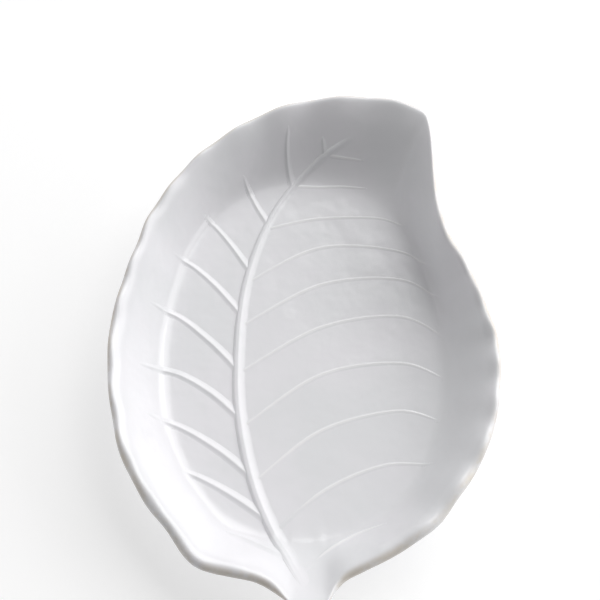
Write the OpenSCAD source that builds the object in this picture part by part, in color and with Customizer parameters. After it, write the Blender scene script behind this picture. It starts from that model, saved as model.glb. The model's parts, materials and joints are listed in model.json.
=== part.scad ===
// Leaf shaped plate: a deep glazed dish in the form of a leaf, with a raised
// midrib, arching side veins, a short stem and a bare standing ring.
// The stem points to -Y, the tip of the leaf to +Y, and the ring stands on Z = 0.

/* [Leaf] */
// Width of the leaf across its widest place
blade_w = 254; // [220:1:300]
// Length of the leaf from the neck of the stem to the far margin
blade_l = 348; // [300:1:400]
// Height of the margin above the table along the sides
margin_h = 47; // [38:1:60]
// How much higher the margin stands at the tip
tip_rise = 10; // [0:1:18]
// How much lower the margin lies at the neck
neck_drop = 7; // [0:1:10]
// Thickness of the floor and the walls
wall_t = 5.5; // [4:0.5:7]

/* [Floor] */
// Plan width of the wall along the sides, from the floor's edge to the margin
side_run = 38; // [32:1:46]
// Plan width of the wall at the two ends
end_run = 49; // [42:1:58]
// How much the floor climbs from its middle to its edge
floor_dish = 1.2; // [0:0.1:2]

/* [Wavy margin] */
// Height of the small waves along the margin
ripple_h = 1.1; // [0:0.1:2.5]
// Number of waves round the leaf
ripples = 28; // [16:1:36]

/* [Standing ring] */
// Height of the ring under the floor
foot_h = 4; // [2:0.5:8]
// Width of the face that stands on the table
foot_t = 6; // [4:0.5:10]
// Distance of the ring in from the edge of the floor
foot_inset = 14; // [8:1:25]

/* [Stem] */
// Length of the stem beyond the neck
stem_l = 26; // [18:1:45]
// Width of the neck, where the stem joins the leaf
neck_w = 21; // [17:1:25]
// Width of the stem near its end
stem_w = 14; // [10:0.5:17]
// Thickness of the stem near its end
stem_t = 9; // [6:0.5:12]
// How much the stem climbs to its end
stem_rise = 3; // [0:0.5:8]

/* [Veins] */
// Width of the midrib at the stem
midrib_w = 7.5; // [5.5:0.1:9]
// Height of the midrib at the stem
midrib_h = 2.6; // [1.5:0.1:4]
// Width of the veins left of the midrib
left_vein_w = 4.6; // [3:0.1:6]
// Height of the veins left of the midrib
left_vein_h = 1.7; // [1:0.1:2.5]
// Width of the veins right of the midrib
right_vein_w = 3.8; // [2.5:0.1:5]
// Height of the veins right of the midrib
right_vein_h = 1.3; // [0.8:0.1:2]
// Clearance under and beside every vein
seat_gap = 0.2; // [0.1:0.05:0.3]

/* [Hidden] */
// Margin of the leaf as shares of its width and length, from the right of
// the neck round the tip to the left of the neck
margin_shares = [
    [0.096, -0.463], [0.150, -0.443], [0.210, -0.422], [0.270, -0.396],
    [0.330, -0.364], [0.378, -0.318], [0.421, -0.274], [0.456, -0.224],
    [0.480, -0.172], [0.494, -0.117], [0.500, -0.060], [0.496, -0.008],
    [0.481, 0.032], [0.454, 0.092], [0.418, 0.150], [0.378, 0.202],
    [0.357, 0.260], [0.348, 0.330], [0.345, 0.400], [0.339, 0.442],
    [0.327, 0.463], [0.292, 0.476], [0.230, 0.492], [0.150, 0.500],
    [0.070, 0.499], [-0.020, 0.491], [-0.110, 0.468], [-0.191, 0.434],
    [-0.263, 0.394], [-0.324, 0.347], [-0.374, 0.294], [-0.414, 0.241],
    [-0.440, 0.182], [-0.464, 0.128], [-0.483, 0.074], [-0.497, 0.020],
    [-0.500, -0.040], [-0.493, -0.110], [-0.478, -0.172], [-0.461, -0.228],
    [-0.427, -0.280], [-0.387, -0.330], [-0.336, -0.374], [-0.292, -0.420],
    [-0.250, -0.443], [-0.173, -0.455], [-0.115, -0.464], [-0.066, -0.483]
];
// Middle of the neck as a share of the leaf's width
neck_share = 0.012;
// Midrib from the stem to its end near the tip
midrib_shares = [
    [0.016, -0.466], [-0.034, -0.399], [-0.073, -0.346], [-0.116, -0.271],
    [-0.147, -0.185], [-0.165, -0.094], [-0.168, -0.010], [-0.163, 0.075],
    [-0.147, 0.156], [-0.113, 0.243], [-0.062, 0.322], [-0.004, 0.376],
    [0.065, 0.412], [0.154, 0.437]
];
// Side veins: the root as a share of the midrib, then two places along the
// vein and its end as shares of the leaf's width and length
left_vein_shares = [
    [0.070, [-0.099, -0.381], [-0.147, -0.364], [-0.196, -0.352]],
    [0.170, [-0.174, -0.285], [-0.250, -0.253], [-0.321, -0.231]],
    [0.250, [-0.216, -0.195], [-0.318, -0.150], [-0.406, -0.133]],
    [0.350, [-0.244, -0.079], [-0.342, -0.040], [-0.434, -0.040]],
    [0.437, [-0.241, 0.020], [-0.335, 0.076], [-0.411, 0.090]],
    [0.542, [-0.236, 0.142], [-0.305, 0.187], [-0.356, 0.202]],
    [0.630, [-0.192, 0.226], [-0.234, 0.265], [-0.272, 0.291]],
    [0.722, [-0.125, 0.312], [-0.148, 0.345], [-0.166, 0.372]],
    [0.815, [-0.041, 0.392], [-0.045, 0.422], [-0.040, 0.452]],
    [0.917, [0.057, 0.420], [0.055, 0.429], [0.053, 0.438]]
];
right_vein_shares = [
    [0.037, [0.060, -0.390], [0.134, -0.356], [0.209, -0.338]],
    [0.148, [0.053, -0.273], [0.204, -0.225], [0.335, -0.226]],
    [0.245, [0.042, -0.158], [0.238, -0.118], [0.353, -0.140]],
    [0.338, [0.043, -0.045], [0.253, -0.021], [0.372, -0.057]],
    [0.433, [0.043, 0.053], [0.256, 0.076], [0.378, 0.026]],
    [0.521, [0.044, 0.144], [0.260, 0.155], [0.371, 0.103]],
    [0.610, [0.045, 0.225], [0.262, 0.216], [0.345, 0.165]],
    [0.714, [0.037, 0.289], [0.205, 0.290], [0.285, 0.264]],
    [0.823, [0.040, 0.360], [0.109, 0.360], [0.178, 0.353]],
    [0.923, [0.100, 0.408], [0.133, 0.404], [0.166, 0.399]]
];
// Floor and wall: places where the surface is measured, out from the middle
floor_shares = [0.35, 0.7];
wall_shares = [0, 0.1, 0.2, 0.3, 0.42, 0.55, 0.7, 0.85, 1];
under_shares = [1, 0.7, 0.42, 0.2, 0];
// Flare of the wall towards the margin, where 0 keeps it climbing steeper
flare_share = 1.3;
// Squareness of the floor's outline, where 2 is an ellipse
floor_power = 2.25;
// Directions from the middle of the leaf, and how far each effect spreads
tip_angle = 62;
tip_spread = 38;
neck_angle = 271;
neck_spread = 22;
lip_spread = 4;
// How far the waves drift from an even spacing
ripple_wander = 60;
// Section of a vein, from one foot over its back to the other foot
section_shares = [[-1, 0], [-0.82, 0.57], [-0.42, 0.91], [0.42, 0.91], [0.82, 0.57], [1, 0], [0, 0]];
// Squareness of the stem at its root and at its end, where 2 is an ellipse
stem_root_power = 7;
stem_end_power = 2.2;
// Counts of steps along and round each form
margin_steps = 4;
neck_steps = 4;
lip_steps = 4;
ring_steps = 96;
stem_rings = 12;
stem_sides = 20;
midrib_steps = 3;
vein_steps = 12;

// The leaf's middle stands this far towards the tip, so that the whole
// plate, stem included, is centred on the origin
leaf_shift = stem_l / 2;
neck_y = -blade_l / 2;
neck_x = neck_share * blade_w;
floor_half_w = blade_w / 2 - side_run;
floor_half_l = blade_l / 2 - end_run;
middle_z = foot_h + wall_t;
half_t = wall_t / 2;
vein_count = len(left_vein_shares);
vein_names = [for (side = ["left", "right"], i = [1:vein_count]) str(side, "_vein_", i)];

// Points and curves
function placed(shares) = [for (s = shares) [s.x * blade_w, s.y * blade_l]];
function between(a, b, t) = a + (b - a) * t;
function on_segment(p0, p1, p2, p3, t) =
    (2 * p1 + (p2 - p0) * t + (2 * p0 - 5 * p1 + 4 * p2 - p3) * t * t
        + (3 * p1 - p0 - 3 * p2 + p3) * t * t * t) / 2;
function on_route(places, t) =
    let (last = len(places) - 1, i = min(floor(t * last), last - 1))
    on_segment(places[max(i - 1, 0)], places[i], places[i + 1], places[min(i + 2, last)], t * last - i);
function route(places, count) = [for (i = [0:count]) on_route(places, i / count)];
function heading(v) = v / norm(v);
function square_to(v) = [-v.y, v.x];

// Margin of the leaf, and the floor's edge, by direction from the middle
neck_right = [neck_x + neck_w / 2, neck_y];
neck_left = [neck_x - neck_w / 2, neck_y];
margin_places = concat([neck_right], placed(margin_shares), [neck_left]);
margin = concat(
    route(margin_places, margin_steps * (len(margin_places) - 1)),
    [for (i = [1:neck_steps - 1]) between(neck_left, neck_right, i / neck_steps)]
);
first_turn = atan2(neck_right.y, neck_right.x);
function turn_of(p) = let (a = atan2(p.y, p.x)) a < first_turn ? a + 360 : a;
turns = [for (p = margin) turn_of(p)];
reach_by_turn = [
    for (i = [0:len(margin) - 1]) [turns[i], norm(margin[i])],
    [first_turn + 360, norm(margin[0])]
];
function margin_reach(turn) = lookup(turn, reach_by_turn);
function floor_reach(turn, inset = 0) = pow(
    pow(abs(cos(turn)) / (floor_half_w - inset), floor_power)
        + pow(abs(sin(turn)) / (floor_half_l - inset), floor_power),
    -1 / floor_power
);

// Heights of the margin and of the inner surface
function away(turn, centre) = abs((turn - centre + 540) % 360 - 180);
function swell(turn, centre, spread) = exp(-pow(away(turn, centre) / spread, 2));
function opening(turn) = min(1, max(0, away(turn, neck_turn) - neck_half_turn) / lip_spread);
neck_turn = turn_of([neck_x, neck_y]);
neck_half_turn = max(
    away(turn_of(neck_left), neck_turn),
    away(turn_of(neck_right), neck_turn)
);
function margin_z(turn) = margin_h + tip_rise * swell(turn, tip_angle, tip_spread)
    - neck_drop * swell(turn, neck_angle, neck_spread);
function ripple(turn) = ripple_h * (1 - swell(turn, neck_angle, neck_spread))
    * sin(ripples * turn + ripple_wander * sin(3 * turn));
function floor_z(reach, edge) = middle_z + floor_dish * pow(reach / edge, 2);
function climb(q) = q * q * (1 + flare_share - flare_share * q);
function climb_rate(q) = q * (2 + 2 * flare_share - 3 * flare_share * q);
function wall_climb(turn, rim) = margin_z(turn) - floor_z(rim, floor_reach(turn));
function lip_tilt(turn) =
    let (outer = margin_reach(turn))
    opening(turn) * atan(climb_rate(1) * wall_climb(turn, outer) / (outer - floor_reach(turn)));
function rim_reach(turn) =
    margin_reach(turn) - half_t * (sin(lip_tilt(turn)) + opening(turn));
function wall_z(turn, q) =
    let (edge = floor_reach(turn), rim = rim_reach(turn))
    floor_z(between(edge, rim, q), edge) + wall_climb(turn, rim) * climb(q) + ripple(turn) * pow(q, 3);
function wall_tilt(turn, q) =
    atan(wall_climb(turn, rim_reach(turn)) * climb_rate(q) / (rim_reach(turn) - floor_reach(turn)));
function surface_z(p) =
    let (turn = turn_of(p), edge = floor_reach(turn), q = (norm(p) - edge) / (rim_reach(turn) - edge))
    q <= 0 ? floor_z(norm(p), edge) : wall_z(turn, min(q, 1));

// Leaf blade: floor, walls and rounded lip. A slice holds the section in one
// direction as [reach, height], from the inner floor over the lip to the
// edge of the flat underside
function floor_slice(turn) =
    let (edge = floor_reach(turn))
    [for (s = floor_shares) [s * edge, floor_z(s * edge, edge)]];
function wall_slice(turn) =
    [for (q = wall_shares) [between(floor_reach(turn), rim_reach(turn), q), wall_z(turn, q)]];
function lip_slice(turn) =
    let (
        tilt = lip_tilt(turn),
        centre = [rim_reach(turn), wall_z(turn, 1)] + half_t * [sin(tilt), -cos(tilt)]
    )
    [for (i = [1:lip_steps - 1])
        let (a = 90 + tilt - 180 * i / lip_steps)
        centre + half_t * [opening(turn) * cos(a), sin(a)]];
function under_slice(turn) =
    [for (q = under_shares)
        let (
            tilt = q == 1 ? lip_tilt(turn) : wall_tilt(turn, q),
            reach = between(floor_reach(turn), rim_reach(turn), q) + wall_t * sin(tilt) * opening(turn)
        )
        [reach, q == 0 ? foot_h : wall_z(turn, q) - wall_t * cos(tilt)]];
function slice(turn) = concat(floor_slice(turn), wall_slice(turn), lip_slice(turn), under_slice(turn));

module leaf_blade() {
    slices = [for (turn = turns) slice(turn)];
    around = len(slices);
    deep = len(slices[0]);
    middle = around * deep;
    function at(i, k) = (i % around) * deep + k;
    color("whitesmoke")
    translate([0, leaf_shift])
    polyhedron(
        concat(
            [for (i = [0:around - 1], s = slices[i]) [s.x * cos(turns[i]), s.x * sin(turns[i]), s.y]],
            [[0, 0, middle_z]]
        ),
        concat(
            [for (i = [0:around - 1]) [middle, at(i + 1, 0), at(i, 0)]],
            [for (i = [0:around - 1], k = [0:deep - 2], half = [0, 1])
                half == 0 ? [at(i, k), at(i + 1, k), at(i + 1, k + 1)]
                    : [at(i, k), at(i + 1, k + 1), at(i, k + 1)]],
            [[for (i = [0:around - 1]) at(i, deep - 1)]]
        )
    );
}

// Standing ring, seated on the flat underside
module foot_ring() {
    function outline(inset) = [
        for (i = [0:ring_steps - 1])
            let (turn = 360 * i / ring_steps)
            floor_reach(turn, inset) * [cos(turn), sin(turn)]
    ];
    color("linen")
    translate([0, leaf_shift])
    linear_extrude(foot_h)
    difference() {
        polygon(outline(foot_inset));
        polygon(outline(foot_inset + foot_t));
    }
}

// A closed skin over rings that have the same number of points
module skin(rings) {
    sides = len(rings[0]);
    last = len(rings) - 1;
    function at(i, k) = i * sides + k % sides;
    polyhedron(
        [for (r = rings, p = r) p],
        concat(
            [[for (k = [0:sides - 1]) at(0, k)]],
            [for (i = [0:last - 1], k = [0:sides - 1], half = [0, 1])
                half == 0 ? [at(i, k), at(i + 1, k), at(i + 1, k + 1)]
                    : [at(i, k), at(i + 1, k + 1), at(i, k + 1)]],
            [[for (k = [sides - 1:-1:0]) at(last, k)]]
        )
    );
}

// Stem: flat like the wall at the neck, rounder and higher towards its end
function rounded(v, power) = sign(v) * pow(abs(v), 2 / power);
function stem_ring(t) =
    let (
        end_t = 1 - stem_t / 2 / stem_l,
        close = t < end_t ? 1 : sqrt(max(1 - pow((t - end_t) / (1 - end_t), 2), 0.04)),
        power = between(stem_root_power, stem_end_power, t),
        half_w = between(neck_w, stem_w, sqrt(t)) / 2 * close,
        half_h = between(wall_t, stem_t, t) / 2 * close,
        centre_z = surface_z([neck_x, neck_y]) - half_t + stem_rise * t * t
    )
    [for (i = [0:stem_sides - 1])
        let (a = 360 * i / stem_sides)
        [neck_x + half_w * rounded(cos(a), power), neck_y - stem_l * t,
            centre_z + half_h * rounded(sin(a), power)]];

module stem() {
    color("whitesmoke")
    translate([0, leaf_shift])
    skin([for (i = [0:stem_rings]) stem_ring(sin(90 * i / stem_rings))]);
}

// A raised vein that follows the inner surface along a route, tapering in
// width and height. Its first ring is cut along the line given by seat
function vein_ring(p, ahead, half_w, height, seat) =
    let (side = square_to(ahead), slant = seat == undef ? 0 : (seat * side) / (seat * ahead))
    [for (s = section_shares)
        let (foot = p + side * half_w * s.x - ahead * half_w * s.x * slant)
        [foot.x, foot.y, surface_z(foot) + seat_gap + height * s.y]];
function vein_heading(points, i) =
    heading(points[min(i + 1, len(points) - 1)] - points[max(i - 1, 0)]);
function taper(t, end) = between(1, end, t * t);
module vein(points, width, height, end, seat) {
    last = len(points) - 1;
    color("white")
    translate([0, leaf_shift])
    skin([for (i = [0:last])
        vein_ring(points[i], vein_heading(points, i), width / 2 * taper(i / last, end),
            height * taper(i / last, end), i == 0 ? seat : undef)]);
}

// Midrib, from the stem to the tip
midrib_places = placed(midrib_shares);
midrib_end_share = 0.4;
function midrib_at(t) = on_route(midrib_places, t);
function midrib_heading(t) = heading(midrib_at(t + 0.01) - midrib_at(t - 0.01));

module midrib() {
    vein(route(midrib_places, midrib_steps * (len(midrib_places) - 1)), midrib_w, midrib_h,
        midrib_end_share);
}

// Side veins, seated beside the midrib
vein_end_share = 0.35;
module side_vein(shares, width, height) {
    root = midrib_at(shares[0]);
    places = placed([for (i = [1:len(shares) - 1]) shares[i]]);
    ahead = heading(places[0] - root);
    beside = square_to(midrib_heading(shares[0]));
    away_from_rib = beside * sign(beside * ahead);
    clear = midrib_w / 2 * taper(shares[0], midrib_end_share) + seat_gap;
    start = root + ahead * clear / (ahead * away_from_rib);
    vein(route(concat([start], places), vein_steps), width, height, vein_end_share, away_from_rib);
}

module left_vein(i) {
    side_vein(left_vein_shares[i - 1], left_vein_w, left_vein_h);
}

module right_vein(i) {
    side_vein(right_vein_shares[i - 1], right_vein_w, right_vein_h);
}

leaf_blade();
foot_ring();
stem();
midrib();
for (i = [1:vein_count]) {
    left_vein(i);
    right_vein(i);
}
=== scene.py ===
"""Dresses the leaf shaped plate: one glazed skin over leaf and stem, raised
veins that grow out of it, a bare clay standing ring, and a studio table."""

import json
import math
from contextlib import contextmanager
from typing import Callable, NamedTuple

import bpy
import numpy as np
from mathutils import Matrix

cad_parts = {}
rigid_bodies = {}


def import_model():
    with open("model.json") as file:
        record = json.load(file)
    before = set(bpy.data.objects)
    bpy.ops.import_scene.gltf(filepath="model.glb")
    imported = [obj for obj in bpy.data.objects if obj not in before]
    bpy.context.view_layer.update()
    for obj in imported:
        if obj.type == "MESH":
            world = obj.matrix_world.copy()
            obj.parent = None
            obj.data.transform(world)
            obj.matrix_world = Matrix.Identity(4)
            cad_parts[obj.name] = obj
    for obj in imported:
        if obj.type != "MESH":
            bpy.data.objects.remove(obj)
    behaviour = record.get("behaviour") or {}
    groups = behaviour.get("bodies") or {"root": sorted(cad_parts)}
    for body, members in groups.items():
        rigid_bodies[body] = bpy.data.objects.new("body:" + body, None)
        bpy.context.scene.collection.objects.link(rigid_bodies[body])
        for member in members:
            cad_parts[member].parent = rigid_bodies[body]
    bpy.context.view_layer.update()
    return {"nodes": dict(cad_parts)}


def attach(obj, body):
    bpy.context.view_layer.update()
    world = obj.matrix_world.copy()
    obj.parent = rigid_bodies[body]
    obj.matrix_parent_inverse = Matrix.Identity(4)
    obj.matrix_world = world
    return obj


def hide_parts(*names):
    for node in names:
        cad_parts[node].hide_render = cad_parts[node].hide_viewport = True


bl_info = {
    "name": "Leaf plate",
    "version": (1, 0, 0),
    "blender": (4, 5, 0),
    "location": "3D View > Sidebar > Leaf plate",
    "description": "Makes the glazed leaf plate and its studio table",
    "category": "Object",
}

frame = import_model()

# The leaf in plan, in metres. Its middle lies LEAF_SHIFT along y, and the stem
# joins it at the neck, its near end.
LEAF_WIDTH, LEAF_LENGTH = 0.254, 0.348
LEAF_SHIFT = 0.013
NECK_X, NECK_Y = 0.012 * LEAF_WIDTH, LEAF_SHIFT - LEAF_LENGTH / 2

# Places on the leaf, as shares of its width and length from its middle
MIDRIB_PLACES = (
    (0.016, -0.466), (-0.034, -0.399), (-0.073, -0.346), (-0.116, -0.271),
    (-0.147, -0.185), (-0.165, -0.094), (-0.168, -0.010), (-0.163, 0.075),
    (-0.147, 0.156), (-0.113, 0.243), (-0.062, 0.322), (-0.004, 0.376),
    (0.065, 0.412), (0.154, 0.437),
)
# Side veins: the root as a share of the midrib, then three places
LEFT_VEINS = (
    (0.070, (-0.099, -0.381), (-0.147, -0.364), (-0.196, -0.352)),
    (0.170, (-0.174, -0.285), (-0.250, -0.253), (-0.321, -0.231)),
    (0.250, (-0.216, -0.195), (-0.318, -0.150), (-0.406, -0.133)),
    (0.350, (-0.244, -0.079), (-0.342, -0.040), (-0.434, -0.040)),
    (0.437, (-0.241, 0.020), (-0.335, 0.076), (-0.411, 0.090)),
    (0.542, (-0.236, 0.142), (-0.305, 0.187), (-0.356, 0.202)),
    (0.630, (-0.192, 0.226), (-0.234, 0.265), (-0.272, 0.291)),
    (0.722, (-0.125, 0.312), (-0.148, 0.345), (-0.166, 0.372)),
    (0.815, (-0.041, 0.392), (-0.045, 0.422), (-0.040, 0.452)),
    (0.917, (0.057, 0.420), (0.055, 0.429), (0.053, 0.438)),
)
RIGHT_VEINS = (
    (0.037, (0.060, -0.390), (0.134, -0.356), (0.209, -0.338)),
    (0.148, (0.053, -0.273), (0.204, -0.225), (0.335, -0.226)),
    (0.245, (0.042, -0.158), (0.238, -0.118), (0.353, -0.140)),
    (0.338, (0.043, -0.045), (0.253, -0.021), (0.372, -0.057)),
    (0.433, (0.043, 0.053), (0.256, 0.076), (0.378, 0.026)),
    (0.521, (0.044, 0.144), (0.260, 0.155), (0.371, 0.103)),
    (0.610, (0.045, 0.225), (0.262, 0.216), (0.345, 0.165)),
    (0.714, (0.037, 0.289), (0.205, 0.290), (0.285, 0.264)),
    (0.823, (0.040, 0.360), (0.109, 0.360), (0.178, 0.353)),
    (0.923, (0.100, 0.408), (0.133, 0.404), (0.166, 0.399)),
)
# How each side vein climbs: height at the root as a share of the full height,
# then where along the vein it starts to climb and where it stands full
LEFT_RISES = ((0.5, 0.1, 0.5),) + ((0.9, 0.0, 0.3),) * 9
RIGHT_RISES = (
    (0.20, 0.15, 0.40), (0.35, 0.14, 0.32), (0.60, 0.04, 0.35), (0.60, 0.03, 0.35),
    (0.60, 0.03, 0.35), (0.60, 0.03, 0.35), (0.60, 0.05, 0.35), (0.70, 0.02, 0.30),
    (0.80, 0.00, 0.20), (0.80, 0.00, 0.20),
)


# Working on one object at a time

def pick(piece):
    """Makes the piece the only selected one, and the active one."""
    if bpy.context.mode != "OBJECT":
        bpy.ops.object.mode_set(mode="OBJECT")
    bpy.ops.object.select_all(action="DESELECT")
    piece.select_set(True)
    bpy.context.view_layer.objects.active = piece


@contextmanager
def editing(piece, kind="VERT"):
    """Edit mode on one piece, with nothing selected."""
    pick(piece)
    bpy.ops.object.mode_set(mode="EDIT")
    bpy.ops.mesh.select_mode(type=kind)
    bpy.ops.mesh.select_all(action="DESELECT")
    yield
    bpy.ops.object.mode_set(mode="OBJECT")


def choose(piece, kind, wanted):
    """Selects only the wanted vertices, edges or faces of a piece that is in
    edit mode."""
    bpy.ops.object.mode_set(mode="OBJECT")
    mesh = piece.data
    groups = {"VERT": mesh.vertices, "EDGE": mesh.edges, "FACE": mesh.polygons}
    for group in groups.values():
        group.foreach_set("select", np.zeros(len(group), bool))
    groups[kind].foreach_set("select", np.asarray(wanted, bool))
    bpy.ops.object.mode_set(mode="EDIT")
    bpy.ops.mesh.select_mode(type=kind)


def read(group, key, width=1, kind=float):
    """One number, or one row of them, for each element of a mesh's group."""
    found = np.empty(len(group) * width, kind)
    group.foreach_get(key, found)
    return found.reshape(-1, width) if width > 1 else found


def points(mesh):
    return read(mesh.vertices, "co", 3)


def put_points(mesh, places):
    mesh.vertices.foreach_set("co", np.asarray(places, float).ravel())
    mesh.update()


def edge_ends(mesh):
    return read(mesh.edges, "vertices", 2, int)


def open_edges(mesh):
    """Which edges only one face uses, and the middles of all edges."""
    uses = np.bincount(read(mesh.loops, "edge_index", kind=int),
                       minlength=len(mesh.edges))
    return uses == 1, points(mesh)[edge_ends(mesh)].mean(axis=1)


def read_attribute(mesh, name):
    return read(mesh.attributes[name].data, "value", kind=np.float32)


def write_attribute(mesh, name, values):
    """Keeps one number for each vertex under a name."""
    store = mesh.attributes.get(name) or mesh.attributes.new(name, "FLOAT", "POINT")
    store.data.foreach_set("value", np.asarray(values, np.float32))


def finish_modifier(piece, kind, name, **settings):
    """Adds a modifier with its settings and applies it."""
    pick(piece)
    modifier = piece.modifiers.new(name, kind)
    for key, value in settings.items():
        setattr(modifier, key, value)
    bpy.ops.object.modifier_apply(modifier=modifier.name)


def copy_of_node(node, name):
    """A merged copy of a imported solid, under a name of its own."""
    source = frame["nodes"][node]
    piece = bpy.data.objects.new(name, source.data.copy())
    bpy.context.scene.collection.objects.link(piece)
    piece.data.materials.clear()
    with editing(piece):
        bpy.ops.mesh.select_all(action="SELECT")
        bpy.ops.mesh.remove_doubles(threshold=2e-6)
    if piece.data.has_custom_normals:
        pick(piece)
        bpy.ops.mesh.customdata_custom_splitnormals_clear()
    return piece


def hand_over(piece, nodes, material):
    """Gives a finished piece its finish, and its place in the frame."""
    piece.data.materials.clear()
    piece.data.materials.append(material)
    piece.data.name = piece.name
    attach(piece, "root")
    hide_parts(*nodes)


def smoothly(x):
    """Goes from 0 to 1 as x does, level at both ends."""
    x = np.clip(x, 0, 1)
    return x * x * (3 - 2 * x)


# Routes over the leaf

def on_leaf(shares):
    return np.array([(x * LEAF_WIDTH, y * LEAF_LENGTH + LEAF_SHIFT) for x, y in shares])


def along(places, t):
    """The place at share t of a smooth line through the places."""
    last = len(places) - 1
    i = min(int(t * last), last - 1)
    u = t * last - i
    a, b, c, d = (places[min(max(i + k, 0), last)] for k in (-1, 0, 1, 2))
    return 0.5 * (2 * b + (c - a) * u + (2 * a - 5 * b + 4 * c - d) * u ** 2
                  + (3 * b - a - 3 * c + d) * u ** 3)


def route(places, count):
    return np.array([along(places, i / count) for i in range(count + 1)])


# Shader groups and materials

# Scales of the noises, where a larger one is finer
GLAZE_SKIN_SCALE = 1400.0
CLAY_PATCH_SCALE, CLAY_GRAIN_SCALE, CLAY_SPECK_SCALE = 30.0, 1600.0, 420.0
TABLE_TOOTH_SCALE = 700.0
# How much of the glaze's height is its fine skin, how far its roughness rises
# where it is less glossy, and how light bends in it
GLAZE_SKIN_SHARE, GLOSS_SPREAD, GLAZE_IOR = 0.012, 0.05, 1.5
# The lift of a vein at which a painted highlight starts to whiten its glaze, and
# the lift at which the highlight is full
PAINTED_HIGHLIGHT_STARTS, PAINTED_HIGHLIGHT_FULL = 0.2, 0.7
# Heights of the clay's grain and the table's tooth
CLAY_GRAIN_HEIGHT, TABLE_TOOTH_HEIGHT = 0.00025, 0.00004
# The mix node keeps its colours in these sockets
MIX_COLOURS, MIX_RESULT = slice(6, 8), 2


class Bench:
    """A short way to lay nodes and link them in one node tree."""

    def __init__(self, tree):
        self.tree = tree
        self.column = 0

    def node(self, kind, **settings):
        made = self.tree.nodes.new(kind)
        made.location = (200 * self.column, 0)
        self.column += 1
        for key, value in settings.items():
            setattr(made, key, value)
        return made

    def feed(self, socket, value):
        """Links the socket to what a node gives, or sets a plain value."""
        if isinstance(value, bpy.types.NodeSocket):
            self.tree.links.new(value, socket)
        else:
            socket.default_value = value

    def places(self):
        return self.node("ShaderNodeTexCoord").outputs["Object"]

    def noise(self, where, scale, detail, roughness):
        made = self.node("ShaderNodeTexNoise")
        self.feed(made.inputs["Vector"], where)
        self.feed(made.inputs["Scale"], scale)
        self.feed(made.inputs["Detail"], detail)
        self.feed(made.inputs["Roughness"], roughness)
        return made.outputs["Fac"]

    def reckon(self, how, *values):
        made = self.node("ShaderNodeMath", operation=how)
        for socket, value in zip(made.inputs, values):
            self.feed(socket, value)
        return made.outputs[0]

    def remap(self, value, low, high, to_low=0.0, to_high=1.0):
        made = self.node("ShaderNodeMapRange", interpolation_type="SMOOTHSTEP")
        for key, given in (("Value", value), ("From Min", low), ("From Max", high),
                           ("To Min", to_low), ("To Max", to_high)):
            self.feed(made.inputs[key], given)
        return made.outputs["Result"]

    def blend(self, share_of_second, *colours):
        made = self.node("ShaderNodeMix", data_type="RGBA")
        self.feed(made.inputs["Factor"], share_of_second)
        for socket, colour in zip(made.inputs[MIX_COLOURS], colours):
            plain = not isinstance(colour, bpy.types.NodeSocket)
            self.feed(socket, (*colour, 1) if plain else colour)
        return made.outputs[MIX_RESULT]

    def bump(self, shader, height, distance):
        made = self.node("ShaderNodeBump")
        self.feed(made.inputs["Distance"], distance)
        self.feed(made.inputs["Height"], height)
        self.feed(shader.inputs["Normal"], made.outputs["Normal"])


def new_group(name, inputs, outputs):
    """The bench of a new shader group with named number sockets, what it is
    given and what it gives."""
    tree = bpy.data.node_groups.new(name, "ShaderNodeTree")
    for label, default in inputs:
        socket = tree.interface.new_socket(
            label, in_out="INPUT", socket_type="NodeSocketFloat")
        socket.default_value = default
    for label in outputs:
        tree.interface.new_socket(
            label, in_out="OUTPUT", socket_type="NodeSocketFloat")
    bench = Bench(tree)
    given = bench.node("NodeGroupInput").outputs
    return bench, given, bench.node("NodeGroupOutput").inputs


def fired_glaze_group():
    """Slow drift of tone and gloss in a fired glaze, and its faint ripple."""
    name = "Fired glaze"
    if name in bpy.data.node_groups:
        return bpy.data.node_groups[name]
    bench, given, result = new_group(
        name, (("Drift Scale", 14.0), ("Ripple Scale", 60.0)),
        ("Tone", "Gloss", "Height"))
    where = bench.places()
    drift = bench.noise(where, given["Drift Scale"], 3.0, 0.55)
    ripple = bench.noise(where, given["Ripple Scale"], 2.0, 0.45)
    skin = bench.noise(where, GLAZE_SKIN_SCALE, 1.0, 0.5)
    bench.feed(result["Tone"], bench.remap(drift, 0.35, 0.65))
    bench.feed(result["Gloss"], bench.remap(ripple, 0.3, 0.7))
    fine = bench.reckon("MULTIPLY", skin, GLAZE_SKIN_SHARE)
    bench.feed(result["Height"], bench.reckon("ADD", ripple, fine))
    return bench.tree


def thin_glaze_group():
    """Where the glaze runs thin over an edge, broken up along it."""
    name = "Thin glaze"
    if name in bpy.data.node_groups:
        return bpy.data.node_groups[name]
    bench, given, result = new_group(
        name, (("Edge", 0.0), ("Break Scale", 55.0)), ("Bare",))
    broken = bench.noise(bench.places(), given["Break Scale"], 4.0, 0.6)
    spots = bench.remap(broken, 0.3, 0.62)
    on_edge = bench.remap(given["Edge"], 0.35, 1.0)
    bench.feed(result["Bare"], bench.reckon("MULTIPLY", on_edge, spots))
    return bench.tree


def new_material(name, colour):
    """A material, the bench of its nodes and its shader."""
    material = bpy.data.materials.new(name)
    material.use_nodes = True
    material.diffuse_color = (*colour, 1)
    tree = material.node_tree
    return material, Bench(tree), tree.nodes["Principled BSDF"]


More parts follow.
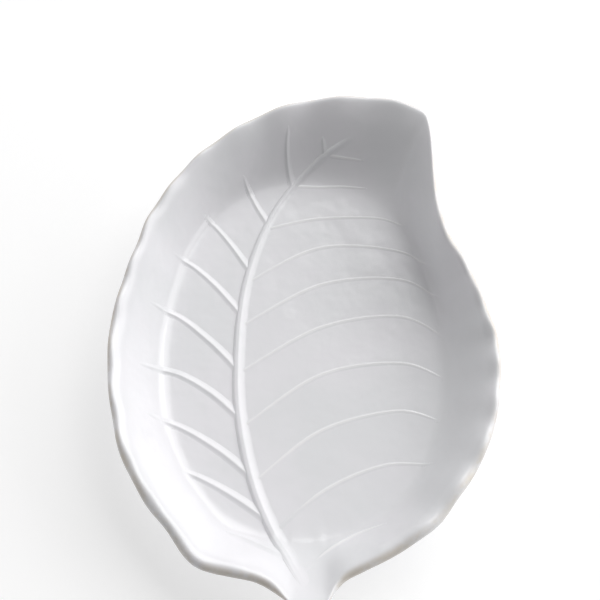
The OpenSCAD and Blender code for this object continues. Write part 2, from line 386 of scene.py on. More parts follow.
def glaze_material(name, finish, drift_scale, edge_share=0.0, painted_highlight_share=0.0):
    """Glossy white glaze over fired clay. Where the piece's edge attribute is
    high, edge_share is how much the clay shows through, and painted_highlight_share how
    far a painted highlight whitens the glaze over a raised line."""
    material, bench, shader = new_material(name, finish.glaze_colour)
    glaze = bench.node("ShaderNodeGroup", node_tree=fired_glaze_group())
    bench.feed(glaze.inputs["Drift Scale"], drift_scale)
    edge = bench.node("ShaderNodeAttribute", attribute_name="edge").outputs["Fac"]
    thin = bench.node("ShaderNodeGroup", node_tree=thin_glaze_group())
    bench.feed(thin.inputs["Edge"], edge)
    bare = bench.reckon("MULTIPLY", thin.outputs["Bare"], edge_share)
    colour = bench.blend(
        glaze.outputs["Tone"], finish.glaze_colour, finish.glaze_drift_colour)
    colour = bench.blend(bare, colour, finish.edge_colour)
    # Painted highlight: whitens the glaze towards the top of a raised line
    if painted_highlight_share:
        painted_highlight_mask = bench.remap(edge, PAINTED_HIGHLIGHT_STARTS, PAINTED_HIGHLIGHT_FULL, 0.0, painted_highlight_share)
        colour = bench.blend(painted_highlight_mask, colour, finish.painted_highlight_colour)
    bench.feed(shader.inputs["Base Color"], colour)
    low = finish.gloss_roughness
    rough = bench.remap(glaze.outputs["Gloss"], 0.0, 1.0, low, low + GLOSS_SPREAD)
    bench.feed(shader.inputs["Roughness"], rough)
    bench.bump(shader, glaze.outputs["Height"], finish.glaze_ripple)
    shader.inputs["IOR"].default_value = GLAZE_IOR
    return material


def clay_material(finish):
    """Bare fired clay, ground flat, with grog and a few dark specks."""
    material, bench, shader = new_material("bare_clay", finish.clay_colour)
    where = bench.places()
    patch = bench.noise(where, CLAY_PATCH_SCALE, 4.0, 0.6)
    grain = bench.noise(where, CLAY_GRAIN_SCALE, 3.0, 0.6)
    body = bench.blend(bench.remap(patch, 0.3, 0.7),
                       finish.clay_colour, finish.clay_drift_colour)
    speck = bench.node("ShaderNodeTexVoronoi")
    bench.feed(speck.inputs["Vector"], where)
    bench.feed(speck.inputs["Scale"], CLAY_SPECK_SCALE)
    dark = bench.reckon("MULTIPLY",
                        bench.remap(speck.outputs["Distance"], 0.10, 0.16, 1.0, 0.0),
                        bench.remap(patch, 0.45, 0.6))
    bench.feed(shader.inputs["Base Color"],
               bench.blend(dark, body, finish.speck_colour))
    bench.feed(shader.inputs["Roughness"], bench.remap(grain, 0.3, 0.7, 0.72, 0.9))
    bench.bump(shader, grain, CLAY_GRAIN_HEIGHT)
    shader.inputs["Specular IOR Level"].default_value = 0.3
    return material


def table_material(studio):
    """Matt white table with a faint tooth, and a little light of its own."""
    material, bench, shader = new_material("pale_table", studio.table_colour)
    tooth = bench.noise(bench.places(), TABLE_TOOTH_SCALE, 3.0, 0.6)
    paler = tuple(1.05 * value for value in studio.table_colour)
    bench.feed(shader.inputs["Base Color"],
               bench.blend(tooth, studio.table_colour, paler))
    bench.bump(shader, tooth, TABLE_TOOTH_HEIGHT)
    shader.inputs["Roughness"].default_value = 0.75
    shader.inputs["Specular IOR Level"].default_value = 0.2
    shader.inputs["Emission Color"].default_value = (1, 1, 1, 1)
    shader.inputs["Emission Strength"].default_value = studio.table_glow
    return material


# What a user would change

def size(name, description, default, low=0.0, high=1.0):
    return bpy.props.FloatProperty(name=name, description=description, default=default,
                                   min=low, max=high, unit="LENGTH", precision=4)


def tint(name, description, default):
    return bpy.props.FloatVectorProperty(
        name=name, description=description, default=default,
        min=0, max=1, size=3, subtype="COLOR")


def share(name, description, default, low=0.0, high=1.0):
    return bpy.props.FloatProperty(name=name, description=description, default=default,
                                   min=low, max=high, subtype="FACTOR")


def angle(name, description, degrees):
    return bpy.props.FloatProperty(name=name, description=description,
                                   default=math.radians(degrees), subtype="ANGLE")


def power(name, description, watts):
    return bpy.props.FloatProperty(name=name, description=description,
                                   default=watts, unit="POWER")


class LeafPlateShape(bpy.types.PropertyGroup):
    lip_roll: size("Lip roll", "How far the lip rolls over near the stem", 0.0042)
    midrib_skirt: size(
        "Midrib skirt", "Half width of the midrib with its soft foot", 0.0056)
    midrib_height: size("Midrib height", "Height of the midrib at the stem", 0.0016)
    left_skirt: size(
        "Left vein skirt", "Half width of a left vein with its soft foot", 0.0042)
    left_height: size("Left vein height", "Height of the left veins", 0.0009)
    right_skirt: size(
        "Right vein skirt", "Half width of a right vein with its foot", 0.0024)
    right_height: size("Right vein height", "Height of the right veins", 0.00045)
    vein_depth: size(
        "Vein depth", "How deep a vein's body reaches into the wall", 0.0006)
    stem_end_width: size("Stem width", "Width of the stem near its end", 0.014)
    stem_end_thickness: size(
        "Stem thickness", "Thickness of the stem near its end", 0.009)
    stem_length: size("Stem length", "Length of the stem beyond the neck", 0.026)
    stem_rise: size("Stem rise", "How much the stem climbs to its end", 0.003)
    ring_bevel: size("Ring bevel", "Rounding of the standing ring's edges", 0.0009)


class LeafPlateFinish(bpy.types.PropertyGroup):
    glaze_colour: tint("Glaze", "Colour of the glaze", (0.881, 0.873, 0.898))
    glaze_drift_colour: tint(
        "Glaze drift", "Colour the glaze drifts to", (0.844, 0.847, 0.864))
    edge_colour: tint("Edge", "Colour where the glaze runs thin", (0.74, 0.67, 0.58))
    edge_share: share("Edge wear", "How much the clay shows on the lip", 0.75)
    # Painted highlight along the tops of the right veins: its colour and share
    painted_highlight_colour: tint(
        "Crest", "Colour where the glaze breaks over a fine vein", (0.99, 0.985, 0.99))
    painted_highlight_share: share("Crest share", "How far the glaze breaks whiter there", 0.8)
    gloss_roughness: share("Roughness", "Roughness of the glaze", 0.12)
    glaze_ripple: size("Glaze ripple", "Height of the glaze's faint ripple", 0.0004)
    clay_colour: tint("Clay", "Colour of the bare clay", (0.62, 0.53, 0.43))
    clay_drift_colour: tint(
        "Clay drift", "Colour the clay drifts to", (0.70, 0.62, 0.52))
    speck_colour: tint("Specks", "Colour of the specks in the clay", (0.28, 0.21, 0.16))


class LeafPlateStudio(bpy.types.PropertyGroup):
    table_colour: tint("Table", "Colour of the table", (0.60, 0.60, 0.60))
    table_glow: share("Table glow", "Light the table gives off itself", 0.50)
    camera_height: angle("Camera elevation", "Angle of the view above the table", 66)
    camera_distance: size(
        "Camera distance", "From the camera to its aim", 0.9742, 0.2, 5)
    aim_x: size("Aim across", "Where the camera looks, across the leaf", -0.00249, -1)
    aim_y: size("Aim along", "Where the camera looks, along the leaf", 0.0567, -1)
    lens: bpy.props.FloatProperty(
        name="Lens", description="Focal length of the camera", default=85, unit="CAMERA")
    key_turn: angle("Key heading", "Where the key light stands round the plate", 48)
    key_height: angle("Key elevation", "How high the key light stands", 45)
    key_watts: power("Key light", "Power of the key light", 66)
    side_turn: angle("Side heading", "Where the side light stands round the plate", 10)
    side_height: angle("Side elevation", "How high the side light stands", 20)
    side_watts: power("Side light", "Power of the side light", 41)
    fill_strength: share(
        "Fill", "Strength of the soft light from all round", 0.28, 0, 5)
    fill_lean: share(
        "Fill lean", "How much more of it comes from its strong side", 1.0)
    fill_turn: angle(
        "Fill heading", "Where the fill's strong side stands round the plate", 135)


# Leaf and stem

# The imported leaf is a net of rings, counted from the middle of the floor over
# the lip to the underside, and of slices, counted round it
LAST_RING = 19
# A height between the underside and the floor
INSIDE_FLOOR = 0.007
# Vertices whose headings differ by less are in one slice
SAME_SLICE = 0.001
# How thin the glaze runs on the rings of the lip
THIN_RINGS = (10, 11, 12, 13, 14, 15, 16)
THIN_SHARES = (0, 0.3, 0.6, 1, 1, 0.8, 0)
# How much of its waves each ring below the lip loses on the left, how many
# slices either way they are evened out over, and from where to the left of
# the middle and over what width that sets in
CALM_RINGS = ((7, 0.4), (8, 0.7), (9, 0.9), (10, 0.9), (11, 0.6))
CALM_SLICES = 3
CALM_FROM, CALM_OVER = -0.02, 0.04
# Where the lip rolls over: how far each ring moves out and up, in lip rolls.
# The roll sets in towards the stem in two parts, each with its share, where it
# starts and over what length, and it runs out over ROLL_END before the neck.
ROLL_RINGS = (8, 9, 10, 11, 12, 13, 14, 15, 16)
ROLL_OUT = (0, -0.12, -0.62, -1.12, -0.96, -0.70, -0.34, -0.18, 0)
ROLL_UP = (0, -0.08, -0.42, -1.0, -0.92, -1.0, -1.04, -1.14, 0)
ROLL_PARTS = ((0.2, 0.08, 0.08), (0.8, -0.02, 0.09))
ROLL_END = 0.010
# The rings of the near wall that are eased into the neck, and how far from it
EASED_RINGS = (4, 11)
EASED_LENGTH, EASED_HALF_WIDTH = 0.045, 0.04
# Nothing but the neck's flat end lies this close to it along y, and the first
# faces of the stem have their middles beyond PAST_NECK
AT_NECK, PAST_NECK = 0.0005, 0.0003
# Bands along the edges of the underside and the floor, inside which they are
# closed
UNDERSIDE_BANDS, FLOOR_BAND = (0.0012, 0.006), 0.010
# Sections of the stem as shares of its length, and where its end rounds off
STEM_STATIONS = (0.10, 0.24, 0.40, 0.56, 0.72, 0.86, 0.95, 1.0)
ROUND_FROM, ROUND_OVER = 0.83, 0.17
# Attributes that keep the normals of the whole skin
WHOLE_NORMAL = ("whole_x", "whole_y", "whole_z")


def rings_and_slices(mesh):
    """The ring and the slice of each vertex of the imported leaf."""
    where = points(mesh)
    beside = [[] for _ in where]
    for a, b in edge_ends(mesh):
        beside[a].append(b)
        beside[b].append(a)
    reach = np.hypot(where[:, 0], where[:, 1] - LEAF_SHIFT)
    middle = int(np.argmin(np.where(where[:, 2] > INSIDE_FLOOR, reach, np.inf)))
    ring = np.full(len(where), -1)
    ring[middle] = 0
    outermost = [middle]
    while outermost:
        following = []
        for v in outermost:
            for w in beside[v]:
                if ring[w] < 0:
                    ring[w] = ring[v] + 1
                    following.append(w)
        outermost = following
    turn = np.arctan2(where[:, 1] - LEAF_SHIFT, where[:, 0])
    order = np.argsort(turn)
    order = order[order != middle]
    slice_no = np.zeros(len(where), int)
    slice_no[order[1:]] = np.cumsum(np.diff(turn[order]) > SAME_SLICE)
    if turn[order[0]] + 2 * math.pi - turn[order[-1]] < SAME_SLICE:
        slice_no[slice_no == slice_no.max()] = 0
    slice_no[middle] = -1
    return ring, slice_no


def calm_waves(mesh, ring, slice_no):
    """Lets the waves of the left margin fade out just below the lip."""
    where = points(mesh)
    steps = range(-CALM_SLICES, CALM_SLICES + 1)
    for level, strength in CALM_RINGS:
        row = np.flatnonzero(ring == level)
        row = row[np.argsort(slice_no[row])]
        heights = where[row, 2]
        around = sum(np.roll(heights, step) for step in steps) / len(steps)
        left = smoothly((CALM_FROM - where[row, 0]) / CALM_OVER)
        where[row, 2] += strength * left * (around - heights)
    put_points(mesh, where)


def drop_diagonals(leaf, ring, slice_no):
    """Dissolves the edges that follow neither a ring nor a slice."""
    a, b = edge_ends(leaf.data).T
    same_ring = ring[a] == ring[b]
    same_slice = slice_no[a] == slice_no[b]
    gap = np.abs(slice_no[a] - slice_no[b])
    neighbours = (gap == 1) | (gap == slice_no.max())
    spoke = (ring[a] == 0) | (ring[b] == 0)
    diagonal = ~same_ring & ~same_slice & ~spoke
    chord = same_ring & ~neighbours
    with editing(leaf, "EDGE"):
        choose(leaf, "EDGE", diagonal | chord)
        bpy.ops.mesh.dissolve_edges(use_verts=False)


def open_floor(leaf):
    """Opens the middle of the floor until the skin is softened."""
    middle = read_attribute(leaf.data, "ring") == 0
    with editing(leaf):
        choose(leaf, "VERT", middle)
        bpy.ops.mesh.delete(type="VERT")


def roll_lip(mesh, lip_roll):
    """Draws the lip's back edge down, so that it rolls over softly."""
    where = points(mesh)
    ring = read_attribute(mesh, "ring")
    outward = where[:, :2] - (0, LEAF_SHIFT)
    outward /= np.maximum(np.linalg.norm(outward, axis=1), 1e-9)[:, None]
    amount = smoothly((where[:, 1] - NECK_Y) / ROLL_END) * lip_roll
    amount *= sum(part * smoothly((start - where[:, 1]) / over)
                  for part, start, over in ROLL_PARTS)
    move_out = np.interp(ring, ROLL_RINGS, ROLL_OUT) * amount
    where[:, :2] += outward * move_out[:, None]
    where[:, 2] += np.interp(ring, ROLL_RINGS, ROLL_UP) * amount
    put_points(mesh, where)


def ease_neck(leaf):
    """Smooths the hollow where the near wall runs up into the neck."""
    where = points(leaf.data)
    ring = read_attribute(leaf.data, "ring")
    inner, outer = EASED_RINGS
    beyond_neck = where[:, 1] - NECK_Y
    near = ((ring >= inner) & (ring <= outer)
            & (beyond_neck > AT_NECK) & (beyond_neck < EASED_LENGTH)
            & (np.abs(where[:, 0] - NECK_X) < EASED_HALF_WIDTH))
    with editing(leaf):
        choose(leaf, "VERT", near)
        bpy.ops.mesh.vertices_smooth(factor=0.5, repeat=6)


def open_underside(leaf):
    """Insets the flat underside twice, so that its edge stays crisp, and
    opens the rest until the skin is softened."""
    corners = read(leaf.data.polygons, "loop_total", kind=int)
    with editing(leaf, "FACE"):
        choose(leaf, "FACE", np.arange(len(corners)) == corners.argmax())
        for width in UNDERSIDE_BANDS:
            bpy.ops.mesh.inset(thickness=width, use_even_offset=True)
        bpy.ops.mesh.delete(type="ONLY_FACE")


def selection(piece):
    """Leaves edit mode, and says which vertices are selected and where all
    vertices are."""
    bpy.ops.object.mode_set(mode="OBJECT")
    return read(piece.data.vertices, "select", kind=bool), points(piece.data)


def oval(u, v, t):
    """Turns a point of the neck's boxy section, from -1 to 1 each way, into
    its point of the stem's section at share t of the stem. From two thirds of
    the stem on, that is an oval."""
    turned = smoothly(t * 1.5)
    return (u * ((1 - turned) + turned * np.sqrt(1 - v * v / 2)),
            v * ((1 - turned) + turned * np.sqrt(1 - u * u / 2)))


def grow_stem(leaf, shape):
    """Opens the flat end at the neck and draws it out into the stem, whose
    faces take the second material slot."""
    mesh = leaf.data
    while len(mesh.materials) < 2:
        mesh.materials.append(None)
    end_face = ((read(mesh.polygons, "normal", 3)[:, 1] < -0.98)
                & (read(mesh.polygons, "center", 3)[:, 1] < NECK_Y + AT_NECK))
    if not end_face.any():
        raise RuntimeError("the leaf has no flat end at the neck")
    with editing(leaf, "FACE"):
        choose(leaf, "FACE", end_face)
        bpy.ops.mesh.delete(type="ONLY_FACE")
        bpy.ops.mesh.select_all(action="SELECT")
        bpy.ops.mesh.delete_loose(use_verts=True, use_edges=True, use_faces=False)
        bpy.ops.object.mode_set(mode="OBJECT")
        lone, middles = open_edges(mesh)
        choose(leaf, "EDGE", lone & (middles[:, 1] < NECK_Y + AT_NECK))
        chosen, where = selection(leaf)
        low, high = where[chosen].min(0), where[chosen].max(0)
        middle, half = (low + high) / 2, (high - low) / 2
        # The end is flat, so half its length along y may be nothing
        u, _, v = ((where[chosen] - middle) / np.maximum(half, 1e-9)).T
        for t in STEM_STATIONS:
            bpy.ops.object.mode_set(mode="EDIT")
            bpy.ops.mesh.extrude_region_move(
                TRANSFORM_OT_translate={"value": (0, -0.001, 0)})
            chosen, where = selection(leaf)
            ending = max(t - ROUND_FROM, 0) / ROUND_OVER
            close = math.sqrt(max(1 - ending ** 2, 0.2))
            half_width = half[0] + (shape.stem_end_width / 2 - half[0]) * math.sqrt(t)
            half_height = half[2] + (shape.stem_end_thickness / 2 - half[2]) * t
            across, upward = oval(u, v, t)
            where[chosen, 0] = middle[0] + half_width * close * across
            where[chosen, 1] = NECK_Y - shape.stem_length * t
            where[chosen, 2] = (middle[2] + shape.stem_rise * t * t
                                + half_height * close * upward)
            put_points(mesh, where)
        bpy.ops.object.mode_set(mode="EDIT")
        bpy.ops.mesh.fill_grid(span=4)
        bpy.ops.object.mode_set(mode="OBJECT")
        for face in mesh.polygons:
            face.material_index = int(face.center[1] < NECK_Y - PAST_NECK)
        bpy.ops.object.mode_set(mode="EDIT")


def close_middles(leaf):
    """Closes the underside with one level face, and the floor with a band and
    a shallow fan."""
    mesh = leaf.data
    for floor in (False, True):
        lone, middles = open_edges(mesh)
        with editing(leaf, "EDGE"):
            choose(leaf, "EDGE", lone & ((middles[:, 2] > INSIDE_FLOOR) == floor))
            bpy.ops.mesh.edge_face_add()
            bpy.ops.mesh.select_mode(type="FACE")
            if floor:
                bpy.ops.mesh.inset(thickness=FLOOR_BAND, use_even_offset=True)
                bpy.ops.mesh.poke()
    if open_edges(mesh)[0].any():
        raise RuntimeError("the leaf stays open")


def close_joint(piece):
    """Closes a piece at the neck, and gives the rest of it the shading that
    it has as part of the whole skin."""
    mesh = piece.data
    skin_faces = len(mesh.polygons)
    with editing(piece, "EDGE"):
        bpy.ops.mesh.select_non_manifold()
        bpy.ops.mesh.mark_sharp()
        bpy.ops.mesh.fill_grid()
    if len(mesh.polygons) == skin_faces:
        raise RuntimeError(f"{piece.name} stays open at the neck")
    whole = np.stack([read_attribute(mesh, name) for name in WHOLE_NORMAL], axis=1)
    given = whole[read(mesh.loops, "vertex_index", kind=int)]
    length = np.linalg.norm(given, axis=1)
    face_of_corner = np.repeat(np.arange(len(mesh.polygons)),
                               read(mesh.polygons, "loop_total", kind=int))
    usable = (face_of_corner < skin_faces) & (length > 0.5)
    normals = read(mesh.corner_normals, "vector", 3)
    normals[usable] = given[usable] / length[usable][:, None]
    mesh.normals_split_custom_set(normals.tolist())
    for name in (*WHOLE_NORMAL, "ring"):
        mesh.attributes.remove(mesh.attributes[name])


def part_stem(leaf):
    """Parts the stem from the leaf at the neck, and closes both."""
    mesh = leaf.data
    for name, values in zip(WHOLE_NORMAL, read(mesh.vertices, "normal", 3).T):
        write_attribute(mesh, name, values)
    before = set(bpy.data.objects)
    with editing(leaf, "FACE"):
        choose(leaf, "FACE", read(mesh.polygons, "material_index", kind=int) == 1)
        bpy.ops.mesh.separate(type="SELECTED")
    stem = next(piece for piece in bpy.data.objects if piece not in before)
    stem.name = "glazed_stem"
    close_joint(leaf)
    close_joint(stem)
    return stem


class LEAFPLATE_OT_leaf_and_stem(bpy.types.Operator):
    """Make the glazed leaf and the stem as one skin, parted at the neck"""
    bl_idname = "leafplate.leaf_and_stem"
    bl_label = "Leaf and stem"

    def execute(self, context):
        scene = context.scene
        shape, finish = scene.leaf_plate_shape, scene.leaf_plate_finish
        leaf = copy_of_node("leaf_blade", "glazed_leaf")
        mesh = leaf.data
        ring, slice_no = rings_and_slices(mesh)
        if ring.max() != LAST_RING:
            raise RuntimeError(f"the leaf has {ring.max()} rings, and not {LAST_RING}")
        write_attribute(mesh, "ring", ring)
        write_attribute(mesh, "edge", np.interp(ring, THIN_RINGS, THIN_SHARES))
        calm_waves(mesh, ring, slice_no)
        drop_diagonals(leaf, ring, slice_no)
        open_floor(leaf)
        roll_lip(mesh, shape.lip_roll)
        ease_neck(leaf)
        open_underside(leaf)
        grow_stem(leaf, shape)
        finish_modifier(leaf, "SUBSURF", "Soften", levels=2, render_levels=2)
        close_middles(leaf)
        pick(leaf)
        bpy.ops.object.shade_smooth()
        stem = part_stem(leaf)
        hand_over(leaf, ["leaf_blade"],
                  glaze_material("white_glaze", finish, 14, finish.edge_share))
        hand_over(stem, ["stem"],
                  glaze_material("stem_glaze", finish, 22, finish.edge_share))
        return {"FINISHED"}


# Veins

# The strip that a vein is made of: the length of a row of faces, the fewest
# rows, the columns and how they crowd towards the back, and the height from
# which it is dropped onto the leaf
ROW_LENGTH, FEWEST_ROWS, COLUMNS, CROWDING, DROP_HEIGHT = 0.0016, 12, 20, 1.5, 0.08
# The places along the midrib's route and along a side vein's
MIDRIB_STEPS, VEIN_STEPS = 130, 40
# Width at the tip as a share of the width at the root
MIDRIB_TIP, VEIN_TIP = 0.4, 0.55
# How much height the midrib has lost at the tip of the leaf, and a vein that
# grows there, and how much a vein has lost at its own end
LEAF_TAPER, VEIN_TAPER = 0.45, 0.4
# The shares of the midrib over which it comes up and runs out, and how far its
# back stands to the left
MIDRIB_START, MIDRIB_END, MIDRIB_LEAN = 0.1, 0.07, 0.25
VEIN_DRIFT_SCALE = 30
# How broad the narrow back between two hollow flanks is
BACK = 0.12
# Where the midrib's shoulder ends, and how far it has come down by then
SHOULDER_END, SHOULDER_DROP = 0.5, 0.08


def ridge(name, places, skirt, tip_width, height, section, climb, lean):
    """A raised ridge along a route over the leaf. It starts as a flat strip,
    is laid on the leaf, and swells from nothing at its edges. section gives
    its height across and climb its height along, both as shares of height.
    lean moves its back to the left of the route, as a share of the skirt."""
    shape = bpy.context.scene.leaf_plate_shape
    steps = np.linalg.norm(np.diff(places, axis=0), axis=1)
    length = float(steps.sum())
    share_at = np.concatenate(([0], np.cumsum(steps))) / length
    bpy.ops.object.select_all(action="DESELECT")

    line = bpy.data.curves.new(name + "_route", "CURVE")
    line.dimensions = "3D"
    line.twist_mode = "Z_UP"
    spline = line.splines.new("POLY")
    spline.points.add(len(places) - 1)
    for point, (x, y), t in zip(spline.points, places, share_at):
        point.co = (x, y, DROP_HEIGHT, 1)
        point.radius = 1 + (tip_width - 1) * t * t
    guide = bpy.data.objects.new(name + "_route", line)
    bpy.context.scene.collection.objects.link(guide)

    bpy.ops.mesh.primitive_grid_add(
        x_subdivisions=max(int(length / ROW_LENGTH), FEWEST_ROWS),
        y_subdivisions=COLUMNS, size=1, location=(0, 0, 0))
    strip = bpy.context.active_object
    strip.name = name
    with editing(strip):
        bpy.ops.mesh.select_all(action="SELECT")
        bpy.ops.transform.resize(value=(length, 2 * skirt, 1))
        bpy.ops.transform.translate(value=(length / 2, 0, 0))
    flat = points(strip.data)
    t = flat[:, 0] / length
    s = (np.abs(flat[:, 1]) / skirt) ** CROWDING
    side = np.sign(flat[:, 1])
    flat[:, 1] = skirt * (lean + s * (side - lean))
    put_points(strip.data, flat)
    lift = section(s, side) * climb(t)
    # On the right veins the material turns this lift into a painted highlight
    write_attribute(strip.data, "edge", lift)
    group = strip.vertex_groups.new(name="lift")
    for i, value in enumerate(lift):
        group.add([i], float(value), "REPLACE")
    finish_modifier(strip, "CURVE", "Follow", object=guide, deform_axis="POS_X")
    finish_modifier(strip, "SHRINKWRAP", "Lay", target=bpy.data.objects["glazed_leaf"],
                    wrap_method="PROJECT", use_project_z=True,
                    use_negative_direction=True, use_positive_direction=False)
    finish_modifier(strip, "SOLIDIFY", "Body", thickness=shape.vein_depth, offset=-1.1,
                    use_even_offset=False, use_rim=True)
    finish_modifier(strip, "DISPLACE", "Swell", direction="NORMAL", mid_level=0,
                    strength=height, vertex_group="lift")
    bpy.data.objects.remove(guide)
    strip.vertex_groups.clear()
    pick(strip)
    bpy.ops.object.shade_smooth()
    return strip


# Sections: s goes from 0 at the back to 1 at the edge, and side is above 0 to
# the left of the route

def hollow(s, power_of_fall):
    """A flank that falls away from a narrow back and runs out flat."""
    fall = np.sqrt(s * s + BACK ** 2) - BACK
    whole_fall = math.sqrt(1 + BACK ** 2) - BACK
    return np.clip(1 - fall / whole_fall, 0, 1) ** power_of_fall


def hollow_flanks(s, side):
    """Section of a left vein: its flank towards the stem is the steeper one."""
    return np.where(side > 0, hollow(s, 1.7), hollow(s, 1.5))


def leaning(s, side):
    """Section of a right vein: a short steep flank towards the tip of the
    leaf, and a long gentle one towards the stem."""
    left = np.clip(1 - s, 0, 1)
    return np.where(side > 0, left, left ** 1.5)


def shouldered(s, side):
    """Section of the midrib: a shoulder that ends in a steep foot on the
    left, and a hollow flank on the right."""
    foot = smoothly((s - SHOULDER_END) / (1 - SHOULDER_END))
    shoulder = np.where(s < SHOULDER_END, 1 - SHOULDER_DROP * (s / SHOULDER_END) ** 2,
                        (1 - SHOULDER_DROP) * (1 - foot))
    return np.where(side > 0, shoulder, hollow(s, 2.6))


def midrib_climb(t):
    return ((1 - LEAF_TAPER * t * t) * smoothly(t / MIDRIB_START)
            * smoothly((1 - t) / MIDRIB_END))


class Side(NamedTuple):
    """What the ten veins of one side have in common."""
    veins: tuple
    rises: tuple
    section: Callable
    lean: float   # as in ridge
    fade: float   # the share of its length over which a vein runs out


SIDES = {
    "left": Side(LEFT_VEINS, LEFT_RISES, hollow_flanks, lean=0.1, fade=0.2),
    "right": Side(RIGHT_VEINS, RIGHT_RISES, leaning, lean=0.35, fade=0.08),
}


def make_side(context, name, skirt, height, painted_highlight_share=0.0):
    """Makes the ten veins of one side, which are weaker towards the tip."""
    side = SIDES[name]
    midrib = on_leaf(MIDRIB_PLACES)
    # The last argument paints a highlight along each vein's top
    material = glaze_material(f"{name}_vein_glaze", context.scene.leaf_plate_finish,
                              VEIN_DRIFT_SCALE, painted_highlight_share=painted_highlight_share)
    for i, ((root, *places), rise) in enumerate(zip(side.veins, side.rises), 1):
        low, start, full = rise
        strength = 1 - LEAF_TAPER * root ** 2

        def climb(t):
            risen = low + (1 - low) * smoothly((t - start) / (full - start))
            return risen * (1 - VEIN_TAPER * t * t) * smoothly((1 - t) / side.fade)

        line = route(np.vstack([along(midrib, root), on_leaf(places)]), VEIN_STEPS)
        vein = ridge(f"glazed_{name}_vein_{i}", line, skirt * strength, VEIN_TIP,
                     height * strength, side.section, climb, side.lean)
        hand_over(vein, [f"{name}_vein_{i}"], material)


class LEAFPLATE_OT_midrib(bpy.types.Operator):
    """Make the midrib from the stem to the tip"""
    bl_idname = "leafplate.midrib"
    bl_label = "Midrib"

    def execute(self, context):
        scene = context.scene
        shape, finish = scene.leaf_plate_shape, scene.leaf_plate_finish
        line = route(on_leaf(MIDRIB_PLACES), MIDRIB_STEPS)
        rib = ridge("glazed_midrib", line, shape.midrib_skirt, MIDRIB_TIP,
                    shape.midrib_height, shouldered, midrib_climb, MIDRIB_LEAN)
        hand_over(rib, ["midrib"],
                  glaze_material("midrib_glaze", finish, VEIN_DRIFT_SCALE))
        return {"FINISHED"}


class LEAFPLATE_OT_left_veins(bpy.types.Operator):
    """Make the ten side veins left of the midrib"""
    bl_idname = "leafplate.left_veins"
    bl_label = "Left veins"

    def execute(self, context):
        shape = context.scene.leaf_plate_shape
        make_side(context, "left", shape.left_skirt, shape.left_height)
        return {"FINISHED"}


class LEAFPLATE_OT_right_veins(bpy.types.Operator):
    """Make the ten side veins right of the midrib"""
    bl_idname = "leafplate.right_veins"
    bl_label = "Right veins"

    def execute(self, context):
        shape = context.scene.leaf_plate_shape
        # The right veins get a painted highlight along their tops
        make_side(context, "right", shape.right_skirt, shape.right_height,
                  context.scene.leaf_plate_finish.painted_highlight_share)
        return {"FINISHED"}


# Standing ring

class LEAFPLATE_OT_foot_ring(bpy.types.Operator):
    """Make the bare clay standing ring"""
    bl_idname = "leafplate.foot_ring"
    bl_label = "Standing ring"

    def execute(self, context):
        scene = context.scene
        shape, finish = scene.leaf_plate_shape, scene.leaf_plate_finish
        ring = copy_of_node("foot_ring", "clay_foot_ring")
        with editing(ring):
            bpy.ops.mesh.select_all(action="SELECT")
            bpy.ops.mesh.tris_convert_to_quads()
        finish_modifier(ring, "BEVEL", "Soften", width=shape.ring_bevel, segments=3,
                        limit_method="ANGLE", angle_limit=math.radians(50))
        pick(ring)
        bpy.ops.object.shade_smooth_by_angle(angle=math.radians(40))
        hand_over(ring, ["foot_ring"], clay_material(finish))
        return {"FINISHED"}


# Table, light and camera

# The table's size, and how far it lies below the standing ring
TABLE_SIZE, TABLE_GAP = 8, 0.0001
# Width and height of the two windows of light, and how far off they stand
KEY_WINDOW, SIDE_WINDOW, WINDOW_DISTANCE = (2.8, 2.6), (2.8, 1.8), 3


def make_table(studio):
    bpy.ops.object.select_all(action="DESELECT")
    bpy.ops.mesh.primitive_plane_add(size=TABLE_SIZE, location=(0, 0, 0))
    table = bpy.context.active_object
    table.name = "table"
    with editing(table):
        bpy.ops.mesh.select_all(action="SELECT")
        bpy.ops.mesh.subdivide(number_cuts=7)
        bpy.ops.transform.translate(value=(0, 0, -TABLE_GAP))
    table.data.materials.append(table_material(studio))


def make_window(name, heading, high, spread, watts):
    """A soft window of light that shines on the plate. heading turns it round
    the plate from the right, high lifts it above the table."""
    light = bpy.data.lights.new(name, "AREA")
    light.shape = "RECTANGLE"
    light.size, light.size_y = spread
    light.energy = watts
    window = bpy.data.objects.new(name, light)
    bpy.context.scene.collection.objects.link(window)
    window.location = (WINDOW_DISTANCE * math.cos(high) * math.cos(heading),
                       WINDOW_DISTANCE * math.cos(high) * math.sin(heading),
                       WINDOW_DISTANCE * math.sin(high))
    window.rotation_euler = (math.pi / 2 - high, 0, heading + math.pi / 2)


def make_fill(scene, studio):
    """Soft light from all round that is stronger from one side."""
    world = bpy.data.worlds.new("studio")
    scene.world = world
    world.use_nodes = True
    bench = Bench(world.node_tree)
    background = world.node_tree.nodes["Background"]
    background.inputs["Color"].default_value = (1, 1, 1, 1)
    facing = bench.node("ShaderNodeVectorMath", operation="DOT_PRODUCT")
    bench.feed(facing.inputs[0],
               bench.node("ShaderNodeTexCoord").outputs["Generated"])
    bench.feed(facing.inputs[1],
               (math.cos(studio.fill_turn), math.sin(studio.fill_turn), 0))
    stronger = bench.reckon(
        "MULTIPLY_ADD", facing.outputs["Value"], studio.fill_lean, 1.0)
    bench.feed(background.inputs["Strength"],
               bench.reckon("MULTIPLY", stronger, studio.fill_strength))


def make_camera(scene, studio):
    lens = bpy.data.cameras.new("view")
    lens.lens = studio.lens
    lens.clip_start, lens.clip_end = 0.01, 50
    camera = bpy.data.objects.new("view", lens)
    scene.collection.objects.link(camera)
    up, away = math.sin(studio.camera_height), math.cos(studio.camera_height)
    camera.location = (studio.aim_x, studio.aim_y - studio.camera_distance * away,
                       studio.camera_distance * up)
    camera.rotation_euler = (math.pi / 2 - studio.camera_height, 0, 0)
    scene.camera = camera


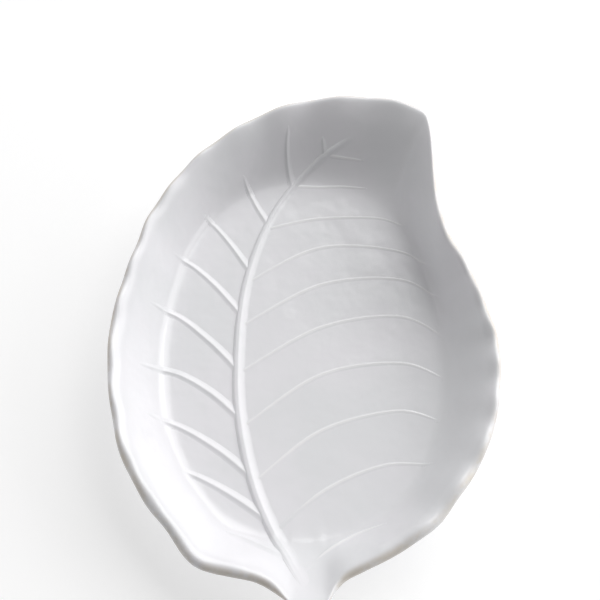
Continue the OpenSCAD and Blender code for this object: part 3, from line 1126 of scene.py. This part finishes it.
class LEAFPLATE_OT_stage(bpy.types.Operator):
    """Make the table, the light and the camera"""
    bl_idname = "leafplate.stage"
    bl_label = "Studio"

    def execute(self, context):
        scene = context.scene
        studio = scene.leaf_plate_studio
        make_table(studio)
        make_window("key_window", studio.key_turn, studio.key_height,
                    KEY_WINDOW, studio.key_watts)
        make_window("side_window", studio.side_turn, studio.side_height,
                    SIDE_WINDOW, studio.side_watts)
        make_fill(scene, studio)
        scene.view_settings.view_transform = "Standard"
        make_camera(scene, studio)
        return {"FINISHED"}


class LEAFPLATE_PT_panel(bpy.types.Panel):
    """Lists the pieces of the plate and what can be changed"""
    bl_idname = "LEAFPLATE_PT_panel"
    bl_label = "Leaf plate"
    bl_space_type = "VIEW_3D"
    bl_region_type = "UI"
    bl_category = "Leaf plate"

    def draw(self, context):
        scene = context.scene
        column = self.layout.column()
        for operator in PIECES:
            column.operator(operator.bl_idname)
        for group in (scene.leaf_plate_shape, scene.leaf_plate_finish,
                      scene.leaf_plate_studio):
            box = self.layout.box()
            for name in group.__annotations__:
                box.prop(group, name)


GROUPS = (LeafPlateShape, LeafPlateFinish, LeafPlateStudio)
PIECES = (LEAFPLATE_OT_leaf_and_stem, LEAFPLATE_OT_midrib, LEAFPLATE_OT_left_veins,
          LEAFPLATE_OT_right_veins, LEAFPLATE_OT_foot_ring, LEAFPLATE_OT_stage)
CLASSES = (*GROUPS, *PIECES, LEAFPLATE_PT_panel)


def register():
    for cls in CLASSES:
        bpy.utils.register_class(cls)
    scene_type, pointer = bpy.types.Scene, bpy.props.PointerProperty
    scene_type.leaf_plate_shape = pointer(type=LeafPlateShape)
    scene_type.leaf_plate_finish = pointer(type=LeafPlateFinish)
    scene_type.leaf_plate_studio = pointer(type=LeafPlateStudio)


def unregister():
    del bpy.types.Scene.leaf_plate_studio
    del bpy.types.Scene.leaf_plate_finish
    del bpy.types.Scene.leaf_plate_shape
    for cls in reversed(CLASSES):
        bpy.utils.unregister_class(cls)


def main():
    register()
    bpy.ops.leafplate.leaf_and_stem()
    bpy.ops.leafplate.midrib()
    bpy.ops.leafplate.left_veins()
    bpy.ops.leafplate.right_veins()
    bpy.ops.leafplate.foot_ring()
    bpy.ops.leafplate.stage()


if __name__ == "__main__":
    main()
